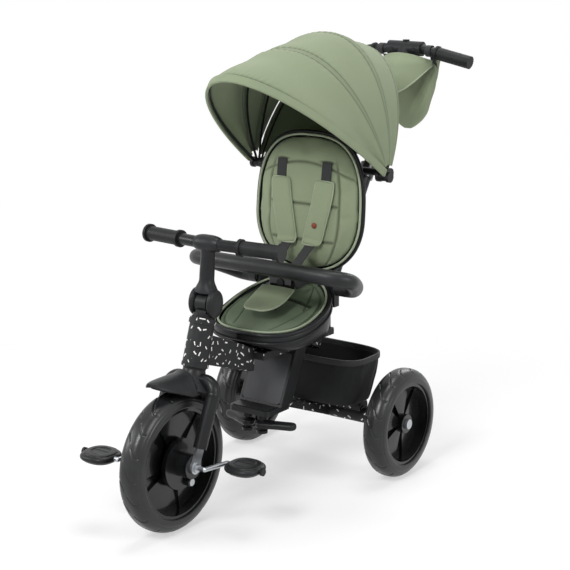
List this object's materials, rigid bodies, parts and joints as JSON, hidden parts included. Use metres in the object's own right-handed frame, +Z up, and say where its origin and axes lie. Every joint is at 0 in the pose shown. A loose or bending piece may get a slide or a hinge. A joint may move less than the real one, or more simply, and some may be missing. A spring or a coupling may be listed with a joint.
{
  "type": "toddler push along trike",
  "caption": "Toddler tricycle with foam tyres, padded bucket seat and reclining back, lift-up safety ring, folding canopy, sliding parent push handle with bag, footrests and a rear basket.",
  "frame": {"origin": "middle of the footprint on the ground", "axes": "+Z up, +Y to the rear towards the push handle, +X to the rider's left"},
  "size_m": [0.466, 1.0707, 0.9693],
  "materials": {
    "frame_paint": "satin powder coat with a scatter of short pale dashes",
    "black_plastic": "matte moulded",
    "grey_panel": "matte moulded",
    "gloss_black": "gloss",
    "black_tube": "satin",
    "tyre_foam": "satin foam",
    "black_foam": "matte foam",
    "zinc_steel": "zinc plated",
    "sage_fabric": "woven",
    "moss_fabric": "woven",
    "black_fabric": "woven"
  },
  "bodies": {
    "frame": {"main_frame": "frame_paint", "head_bushes": "black_plastic", "pedestal_housing": "black_plastic", "pedestal_panel": "grey_panel", "pedestal_base": "black_plastic", "footrest_pivots": "zinc_steel", "rear_frame": "frame_paint", "rear_axle": "zinc_steel", "axle_caps": "zinc_steel", "basket": "black_fabric", "basket_rim": "black_fabric", "seat_pan": "black_plastic", "seat_cushion": "moss_fabric", "lap_straps": "moss_fabric", "ring_sockets": "black_plastic", "recline_pin": "zinc_steel", "post_lower": "frame_paint", "post_collar": "gloss_black"},
    "steering": {"fork": "frame_paint", "dropouts": "zinc_steel", "fender": "black_plastic", "knuckle_base": "black_plastic", "knuckle_pin": "zinc_steel"},
    "handlebar": {"stem": "black_plastic", "handlebar": "black_tube", "handlebar_grips": "black_foam"},
    "front_wheel": {"front_rim": "gloss_black", "front_tyre": "tyre_foam"},
    "clutch": {"clutch_pin": "zinc_steel"},
    "crank": {"crank": "zinc_steel", "pedal_nuts": "zinc_steel"},
    "pedal_left": {"pedal_left": "black_plastic"},
    "pedal_right": {"pedal_right": "black_plastic"},
    "rear_wheel_left": {"rear_rim_left": "gloss_black", "rear_tyre_left": "tyre_foam"},
    "rear_wheel_right": {"rear_rim_right": "gloss_black", "rear_tyre_right": "tyre_foam"},
    "brake_left": {"brake_left": "black_plastic"},
    "brake_right": {"brake_right": "black_plastic"},
    "footrest_left": {"footrest_left": "black_plastic"},
    "footrest_right": {"footrest_right": "black_plastic"},
    "ring": {"safety_ring": "black_foam"},
    "backrest": {"backrest_shell": "black_plastic", "backrest_pad": "sage_fabric", "shoulder_pads": "sage_fabric", "buckle": "gloss_black", "canopy_bracket": "black_plastic", "canopy_knobs": "black_plastic", "bow_rear": "black_plastic", "canopy_drop": "moss_fabric"},
    "buckle_button": {"buckle_button": "gloss_black"},
    "canopy_front": {"bow_front": "black_plastic", "canopy_cloth": "sage_fabric"},
    "canopy_mid": {"bow_mid": "black_plastic"},
    "canopy_back": {"bow_back": "black_plastic"},
    "push_handle": {"post_upper": "black_tube", "push_bar": "black_plastic", "push_grips": "black_foam", "parent_bag": "sage_fabric"},
    "push_button": {"push_button": "gloss_black"}
  },
  "joints": [
    {"name": "steer", "type": "hinge", "parent": "frame", "child": "steering", "pos_m": [0, -0.31626, 0.32622], "axis": [0, 0.2924, 0.9563], "range_deg": [-35, 35]},
    {"name": "handlebar_fold", "type": "hinge", "parent": "steering", "child": "handlebar", "pos_m": [0, -0.27796, 0.45149], "axis": [1, 0, 0], "range_deg": [0, 80]},
    {"name": "front_wheel_spin", "type": "hinge", "parent": "steering", "child": "front_wheel", "pos_m": [0, -0.39049, 0.145], "axis": [1, 0, 0], "continuous": true},
    {"name": "clutch_pull", "type": "slide", "parent": "front_wheel", "child": "clutch", "axis": [1, 0, 0], "range_m": [0, 0.006]},
    {"name": "crank_spin", "type": "hinge", "parent": "steering", "child": "crank", "pos_m": [0, -0.39049, 0.145], "axis": [1, 0, 0], "continuous": true},
    {"name": "pedal_left_spin", "type": "hinge", "parent": "crank", "child": "pedal_left", "pos_m": [0.127, -0.3169, 0.13726], "axis": [1, 0, 0], "continuous": true},
    {"name": "pedal_right_spin", "type": "hinge", "parent": "crank", "child": "pedal_right", "pos_m": [-0.127, -0.46408, 0.15274], "axis": [1, 0, 0], "continuous": true},
    {"name": "rear_wheel_left_spin", "type": "hinge", "parent": "frame", "child": "rear_wheel_left", "pos_m": [0.206, 0.14351, 0.122], "axis": [1, 0, 0], "continuous": true},
    {"name": "rear_wheel_right_spin", "type": "hinge", "parent": "frame", "child": "rear_wheel_right", "pos_m": [-0.206, 0.14351, 0.122], "axis": [1, 0, 0], "continuous": true},
    {"name": "brake_left_press", "type": "hinge", "parent": "frame", "child": "brake_left", "pos_m": [0.145, 0.17551, 0.105], "axis": [1, 0, 0], "range_deg": [-15, 0]},
    {"name": "brake_right_press", "type": "hinge", "parent": "frame", "child": "brake_right", "pos_m": [-0.145, 0.17551, 0.105], "axis": [1, 0, 0], "range_deg": [-15, 0]},
    {"name": "footrest_left_swing", "type": "hinge", "parent": "frame", "child": "footrest_left", "pos_m": [0.0195, -0.11449, 0.145], "axis": [0, 0, 1], "range_deg": [0, 60]},
    {"name": "footrest_right_swing", "type": "hinge", "parent": "frame", "child": "footrest_right", "pos_m": [-0.0195, -0.11449, 0.145], "axis": [0, 0, 1], "range_deg": [-60, 0]},
    {"name": "ring_lift", "type": "hinge", "parent": "frame", "child": "ring", "pos_m": [0, 0.04351, 0.434], "axis": [1, 0, 0], "range_deg": [-58, 0]},
    {"name": "backrest_recline", "type": "hinge", "parent": "frame", "child": "backrest", "pos_m": [0, 0.10151, 0.4], "axis": [1, 0, 0], "range_deg": [-10, 0]},
    {"name": "buckle_press", "type": "slide", "parent": "backrest", "child": "buckle_button", "axis": [0, 1, 0], "range_m": [0, 0.0025], "stiffness_N_per_m": 400},
    {"name": "canopy_fold", "type": "hinge", "parent": "backrest", "child": "canopy_front", "pos_m": [0, 0.12601, 0.672], "axis": [1, 0, 0], "range_deg": [-64, 0], "deforming": ["canopy_cloth"]},
    {"name": "canopy_mid_fold", "type": "hinge", "parent": "backrest", "child": "canopy_mid", "pos_m": [0, 0.12601, 0.672], "axis": [1, 0, 0], "range_deg": [-40.1, 0]},
    {"name": "canopy_back_fold", "type": "hinge", "parent": "backrest", "child": "canopy_back", "pos_m": [0, 0.12601, 0.672], "axis": [1, 0, 0], "range_deg": [-17.1, 0]},
    {"name": "push_handle_slide", "type": "slide", "parent": "frame", "child": "push_handle", "axis": [0, 0.5204, 0.8539], "range_m": [-0.12, 0]},
    {"name": "push_button_press", "type": "slide", "parent": "push_handle", "child": "push_button", "axis": [0, 0, 1], "range_m": [-0.003, 0], "stiffness_N_per_m": 400}
  ],
  "couplings": [
    {"joint": "crank_spin", "follows": "front_wheel_spin", "ratio": 1},
    {"joint": "canopy_mid_fold", "follows": "canopy_fold", "ratio": 0.625},
    {"joint": "canopy_back_fold", "follows": "canopy_fold", "ratio": 0.26562}
  ]
}
